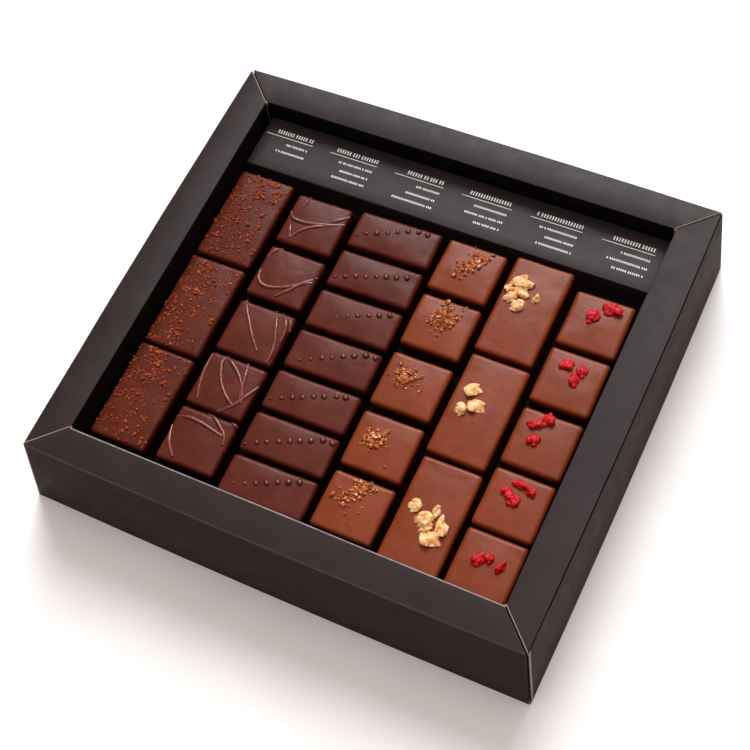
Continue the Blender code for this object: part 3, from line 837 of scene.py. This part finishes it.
def praline_master(name, size):
    """A chocolate with its sides drawn in, rounded edges and a slightly crowned top, its top at zero."""
    half = (size[0] / 2, size[1] / 2)
    body = start_block(name, (-half[0], -half[1], -PIECE_HEIGHT), (half[0], half[1], 0))
    pick(body, "FACE", lambda f: f.normal.z > 0.9)
    bpy.ops.transform.resize(value=(1 - SIDE_DRAFT / half[0], 1 - SIDE_DRAFT / half[1], 1))
    put_down()
    round_edges(body, lambda e: max(v.co.z for v in e.verts) > -1, SHOULDER, 5, 0.62)
    round_edges(body, lambda e: max(v.co.z for v in e.verts) < -PIECE_HEIGHT + 0.1, 0.4, 2)
    for axis in (0, 1):
        count = round(size[axis] / 1.9)
        reach = half[axis] - SHOULDER - 0.6
        slice_rows(body, axis, [-reach + 2 * reach * k / count for k in range(count + 1)])
    slice_rows(body, 2, [-PIECE_HEIGHT + 3, -PIECE_HEIGHT + 6, -PIECE_HEIGHT + 9])

    def crown(co):
        if co.z < -2:
            return 0.0
        return max(0.0, (1 - (co.x / half[0]) ** 2)) * max(0.0, (1 - (co.y / half[1]) ** 2))

    swell(body, crown, "Z", CROWN)
    return body


def make_pralines(finishes):
    hollows, dents = clouds("slow hollows", SLOW_HOLLOWS), clouds("small dents", SMALL_DENTS)
    for name, column in COLUMNS.items():
        master = praline_master(name + " master", column["size"])
        for index, place in enumerate(places_in(column)):
            body = copy_to(master, f"{name}_{index + 1}_body", place)
            make_uneven(body, hollows)
            make_uneven(body, dents)
            dark = name in DARK_COLUMNS
            dress(body, finishes[0 if dark else 1])
            smooth(body, 45)
            settle(body, "dark_chocolate" if dark else "milk_chocolate", f"{name}_{index + 1}")
        throw_out(master)


def make_threads(finish):
    draw = random.Random(21)
    threads = []
    size = COLUMNS["drizzle_square"]["size"]
    for square, place in zip(THREADS, places_in(COLUMNS["drizzle_square"])):
        for points in square:
            put_down()
            bpy.ops.curve.primitive_bezier_curve_add(location=(0, 0, 0))
            line = named(bpy.context.object, "thread")
            spline = line.data.splines[0]
            spline.bezier_points.add(len(points) - 2)
            for index, (knot, (x, y)) in enumerate(zip(spline.bezier_points, points)):
                knot.co = (x, y, -THREAD_SINK + crown_at(size, x, y) - 0.7 * edge_drop(size, x, y))
                knot.handle_left_type = knot.handle_right_type = "AUTO"
                ends = index in (0, len(points) - 1)
                knot.radius = draw.uniform(0.65, 0.85) if ends else draw.uniform(0.9, 1.2)
            line.data.bevel_depth = THREAD_RADIUS
            line.data.bevel_resolution = 3
            line.data.resolution_u = 14
            line.data.use_fill_caps = True
            take(line)
            bpy.ops.object.convert(target="MESH")
            line.data.transform(place)
            threads.append(line)
    threads = join("drizzle_threads", threads)
    make_uneven(threads, clouds("thread swell", THREAD_SWELL))
    dress(threads, finish)
    smooth(threads, 60)
    settle(threads, "dark_chocolate")


def make_beads(finish):
    """Drops with a small peak and a spread foot, growing along each row."""
    draw = random.Random(8)
    put_down()
    bpy.ops.mesh.primitive_uv_sphere_add(segments=14, ring_count=9, radius=1)
    drop = named(bpy.context.object, "drop")
    pick(drop, "VERT", lambda v: v.co.z > 0.999)
    bpy.ops.transform.translate(value=(0, 0, 0.16))
    pick(drop, "VERT", lambda v: v.co.z < -0.5)
    bpy.ops.transform.resize(value=(1.3, 1.3, 0.4))
    put_down()
    beads = []
    for (start, count, rise), place in zip(BEAD_ROWS, places_in(COLUMNS["bead_slab"])):
        for k in range(count):
            share = min(1.0, FIRST_BEAD_SHARE + 0.22 * k) * draw.uniform(0.88, 1.08)
            radius = BEAD_RADIUS * share
            x = start[0] + BEAD_STEP * k + draw.uniform(-0.25, 0.25)
            y = min(start[1] + BEAD_STEP * k * rise + draw.uniform(-0.2, 0.2), LAST_BEAD_Y)
            own = (Matrix.Translation((x, y, radius * 0.22))
                   @ Matrix.Rotation(draw.uniform(0, FULL_TURN), 4, "Z")
                   @ Matrix.Diagonal((radius * 1.05, radius * 0.95, radius * 0.8, 1)))
            beads.append(copy_to(drop, "bead", place @ own))
    throw_out(drop)
    beads = join("chocolate_beads", beads)
    make_uneven(beads, clouds("bead dents", BEAD_DENTS))
    dress(beads, finish)
    smooth(beads, 60)
    settle(beads, "dark_chocolate")


def chip_master(name, seed, cuts, fineness=1, low=0.45, high=0.8):
    """A small broken lump: a round start with facets broken off it."""
    draw = random.Random(seed)
    lump = start_lump(name, fineness)
    for _ in range(cuts):
        outward = Vector((draw.uniform(-1, 1), draw.uniform(-1, 1), draw.uniform(-0.7, 1))).normalized()
        cut_away(lump, outward * draw.uniform(low, high), outward)
    return lump


def scatter(masters, name, spots, draw, sink=0.3):
    """Copies of the chips at (place, x, y, size, flatness)."""
    chips = []
    for place, x, y, size, flat in spots:
        own = (Matrix.Translation((x, y, size * flat * (0.5 - sink) + 0.1))
               @ Matrix.Rotation(draw.uniform(0, FULL_TURN), 4, "Z")
               @ Matrix.Rotation(draw.uniform(-0.5, 0.5), 4, "X")
               @ Matrix.Diagonal((size * draw.uniform(0.4, 0.62), size * draw.uniform(0.3, 0.5),
                                  size * flat * 0.5, 1)))
        chips.append(copy_to(draw.choice(masters), "chip", place @ own))
    return join(name, chips)


def crown_at(size, x, y):
    """How far the crowned top lies above its edges at this place."""
    return CROWN * max(0.0, 1 - (2 * x / size[0]) ** 2) * max(0.0, 1 - (2 * y / size[1]) ** 2)


def edge_drop(size, x, y):
    """How far the rounded edge lies below the top at this place."""
    past = max(abs(x) - size[0] / 2, abs(y) - size[1] / 2) + SIDE_DRAFT + SHOULDER
    share = min(1.0, max(0.0, past / SHOULDER))
    return SHOULDER * (1 - math.sqrt(1 - share ** 2))


def raised(place, size, x, y):
    return place @ Matrix.Translation((0, 0, crown_at(size, x, y) - 0.05))


def make_crystals(finish):
    draw = random.Random(77)
    size = COLUMNS["crystal_square"]["size"]
    spots = []
    for spec, place in zip(CRYSTALS, places_in(COLUMNS["crystal_square"])):
        for start, end, spread, count in spec["bands"]:
            for _ in range(count):
                share = draw.random()
                x = start[0] + (end[0] - start[0]) * share + draw.gauss(0, spread)
                y = start[1] + (end[1] - start[1]) * share + draw.gauss(0, spread)
                grain = draw.choice((0.9, 1.1, 1.3, 1.6, 2.0, 2.5))
                x, y = [max(-most, min(most, c)) for c, most in zip((x, y), CRYSTAL_FIELD)]
                spots.append((raised(place, size, x, y), x, y, grain, draw.uniform(0.6, 0.9)))
        for x, y in spec["single"]:
            spots.append((raised(place, size, x, y), x, y, draw.uniform(1.1, 1.8), 0.7))
    masters = [chip_master("crystal", seed, 5) for seed in (1, 2, 3, 4)]
    crystals = scatter(masters, "caramel_crystals", spots, draw)
    throw_out(*masters)
    dress(crystals, finish)
    smooth(crystals, 25)
    settle(crystals, "milk_chocolate")


def make_flakes(finish):
    draw = random.Random(31)
    size = COLUMNS["flake_bar"]["size"]
    spots = []
    for knots, place in zip(FLAKE_KNOTS, places_in(COLUMNS["flake_bar"])):
        for x, y in knots:
            for _ in range(draw.randint(2, 5)):
                nx, ny = x + draw.gauss(0, 0.9), y + draw.gauss(0, 0.9)
                spots.append((raised(place, size, nx, ny), nx, ny, draw.uniform(1.2, 2.5), 0.5))
        made = 0
        while made < FLAKES_PER_BAR:
            x, y = [draw.uniform(-most, most) for most in FINE_FLAKE_FIELD]
            keep = (1.0 if x < 2 else 0.45 if x < 7 else 0.25) * (1.0 if y > 4 else 0.7)
            if draw.random() < keep:
                made += 1
                grain = draw.choice((0.45, 0.5, 0.6, 0.7, 0.9, 1.4))
                spots.append((raised(place, size, x, y), x, y, grain, 0.5))
    spots = [s for s in spots if abs(s[1]) < FLAKE_FIELD[0] and abs(s[2]) < FLAKE_FIELD[1]]
    masters = [chip_master("flake", seed, 3) for seed in (11, 12, 13)]
    flakes = scatter(masters, "orange_flakes", spots, draw)
    throw_out(*masters)
    dress(flakes, finish)
    smooth(flakes, 25)
    settle(flakes, "dark_chocolate")


def lumps(masters, name, groups, column, height, plump, draw):
    """Lumps of a master's form at their places, plump times their length and width each way."""
    items = []
    for lumps_here, place in zip(groups, places_in(column)):
        for x, y, length, width, turn in lumps_here:
            tall = height * draw.uniform(0.85, 1.1)
            own = (Matrix.Translation((x, y, tall * 0.36))
                   @ Matrix.Rotation(math.radians(turn + draw.choice((0, 180))), 4, "Z")
                   @ Matrix.Diagonal((length * plump, width * plump, tall * 0.66, 1)))
            items.append(copy_to(draw.choice(masters), "lump", place @ own))
    return join(name, items)


def cluster_master(name, crumbs, seed, count, share):
    """A lump made of smaller crumbs that have grown together."""
    draw = random.Random(seed)
    parts = [copy_to(crumbs[seed % len(crumbs)], name, Matrix.Diagonal((0.78, 0.74, 0.8, 1)))]
    for k in range(count):
        angle = 2 * math.pi * (k + draw.uniform(-0.25, 0.25)) / count
        out = draw.uniform(0.42, 0.62)
        size = share * draw.uniform(0.85, 1.25)
        own = (Matrix.Translation((out * math.cos(angle), out * math.sin(angle), draw.uniform(-0.25, 0.45)))
               @ Matrix.Rotation(draw.uniform(0, FULL_TURN), 4, "Z")
               @ Matrix.Rotation(draw.uniform(0, 1.5), 4, "X")
               @ Matrix.Diagonal((size, size * draw.uniform(0.75, 1.0), size * draw.uniform(0.8, 1.1), 1)))
        parts.append(copy_to(draw.choice(crumbs), name, own))
    return join(name, parts)


def nut_crumb(seed):
    lump = chip_master("nut crumb", seed, 8, 3, 0.5, 0.85)
    change = lump.modifiers.new("worn edges", "BEVEL")
    change.width, change.segments, change.limit_method, change.angle_limit = 0.07, 2, "ANGLE", 0.35
    apply_all(lump)
    make_uneven(lump, clouds("nut bumps", NUT_BUMPS))
    return lump


def fruit_crumb(seed):
    lump = start_lump("fruit crumb", 4)
    cut_away(lump, (0, 0, -0.7), (0, 0, -1))
    size, height = FRUIT_FOLDS
    make_uneven(lump, clouds("fruit folds", (size + 0.05 * seed, height)))
    make_uneven(lump, clouds("fruit wrinkles", FRUIT_WRINKLES))
    return lump


def make_almonds(finish):
    draw = random.Random(15)
    crumbs = [nut_crumb(seed) for seed in (3, 5, 9)]
    masters = [cluster_master("nut cluster", crumbs, seed, 4, 0.54) for seed in (1, 2, 3, 4)]
    throw_out(*crumbs)
    nuts = lumps(masters, "nut_pieces", NUTS, COLUMNS["nut_bar"], NUT_HEIGHT, NUT_PLUMPNESS, draw)
    throw_out(*masters)
    dress(nuts, finish)
    smooth(nuts, 38)
    settle(nuts, "milk_chocolate")


def make_berries(finish):
    draw = random.Random(6)
    crumbs = [fruit_crumb(seed) for seed in (1, 2, 3)]
    masters = [cluster_master("fruit cluster", crumbs, seed, 4, 0.56) for seed in (5, 6, 7)]
    throw_out(*crumbs)
    fruit = lumps(masters, "fruit_pieces", BERRIES, COLUMNS["berry_square"], BERRY_HEIGHT, BERRY_PLUMPNESS,
                  draw)
    throw_out(*masters)
    dress(fruit, finish)
    smooth(fruit, 60)
    settle(fruit, "milk_chocolate")


# The studio

def make_studio():
    put_down()
    bpy.ops.mesh.primitive_plane_add(size=1, location=(0, 0, 0), scale=(1, 1, 1))
    floor = named(bpy.context.object, "studio_floor")
    floor.data.transform(Matrix.Scale(FLOOR_WIDTH, 4))
    pick(floor, "FACE", everything)
    bpy.ops.mesh.subdivide(number_cuts=8)
    put_down()
    dress(floor, studio_floor("pale floor"))

    world = bpy.data.worlds.new("studio")
    bpy.context.scene.world = world
    world.use_nodes = True
    world.node_tree.nodes["Background"].inputs["Color"].default_value = (*FILL_COLOUR, 1.0)
    nodes, links = world.node_tree.nodes, world.node_tree.links
    towards = nodes.new("ShaderNodeVectorMath")
    towards.operation = "DOT_PRODUCT"
    towards.inputs[1].default_value = FILL_FROM
    fade = nodes.new("ShaderNodeMapRange")
    for key, value in (("From Min", 0.15), ("From Max", 0.95), ("To Min", FILL[0]), ("To Max", FILL[1])):
        fade.inputs[key].default_value = value
    links.new(nodes.new("ShaderNodeTexCoord").outputs["Generated"], towards.inputs[0])
    links.new(towards.outputs["Value"], fade.inputs["Value"])
    links.new(fade.outputs["Result"], nodes["Background"].inputs["Strength"])

    for box in SOFTBOXES:
        bpy.ops.object.light_add(type="SUN", location=[c * 0.8 for c in box["source"]])
        lamp = named(bpy.context.object, box["name"])
        lamp.data.angle = math.radians(box["width"])
        lamp.data.energy, lamp.data.color = box["power"], box["colour"]
        lamp.rotation_euler = Vector([-c for c in box["source"]]).to_track_quat("-Z", "Y").to_euler()

    bpy.ops.object.camera_add()
    camera = named(bpy.context.object, "view")
    camera.location = (Vector(EYE) + Vector(RIM_SHIFT)) * MM
    camera.rotation_euler = [math.radians(angle) for angle in EYE_TURN]
    camera.data.lens, camera.data.sensor_width = LENS, SENSOR
    camera.data.clip_start, camera.data.clip_end = 0.02, 20.0
    bpy.context.scene.camera = camera
    bpy.context.scene.view_settings.view_transform = "Standard"
    bpy.context.scene.view_settings.look = "None"


def main():
    put_down()
    # The near-black shadow card is painted shade: the tray's inner walls, its pressed groove, the corner
    # cores and the raised floor wear it
    inner = card("shadow card")
    make_studio()
    make_tray(card("black card"), raw_card("cut card edge"), inner, painted_light_card("lip highlight card"),
              card("outer wall card"), painted_light_card("fold light card"))
    dress(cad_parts["raised_floor"], inner)
    make_label(card("label card"))
    make_print(print_ink("white print"))
    make_pralines((chocolate("dark chocolate"), chocolate("milk chocolate")))
    make_threads(chocolate("drizzle chocolate"))
    make_beads(chocolate("bead chocolate"))
    make_crystals(caramel_crystal("caramel crystal"))
    make_flakes(orange_flake("orange flake"))
    make_almonds(almond("almond"))
    make_berries(red_fruit("red fruit"))


main()
put_down()
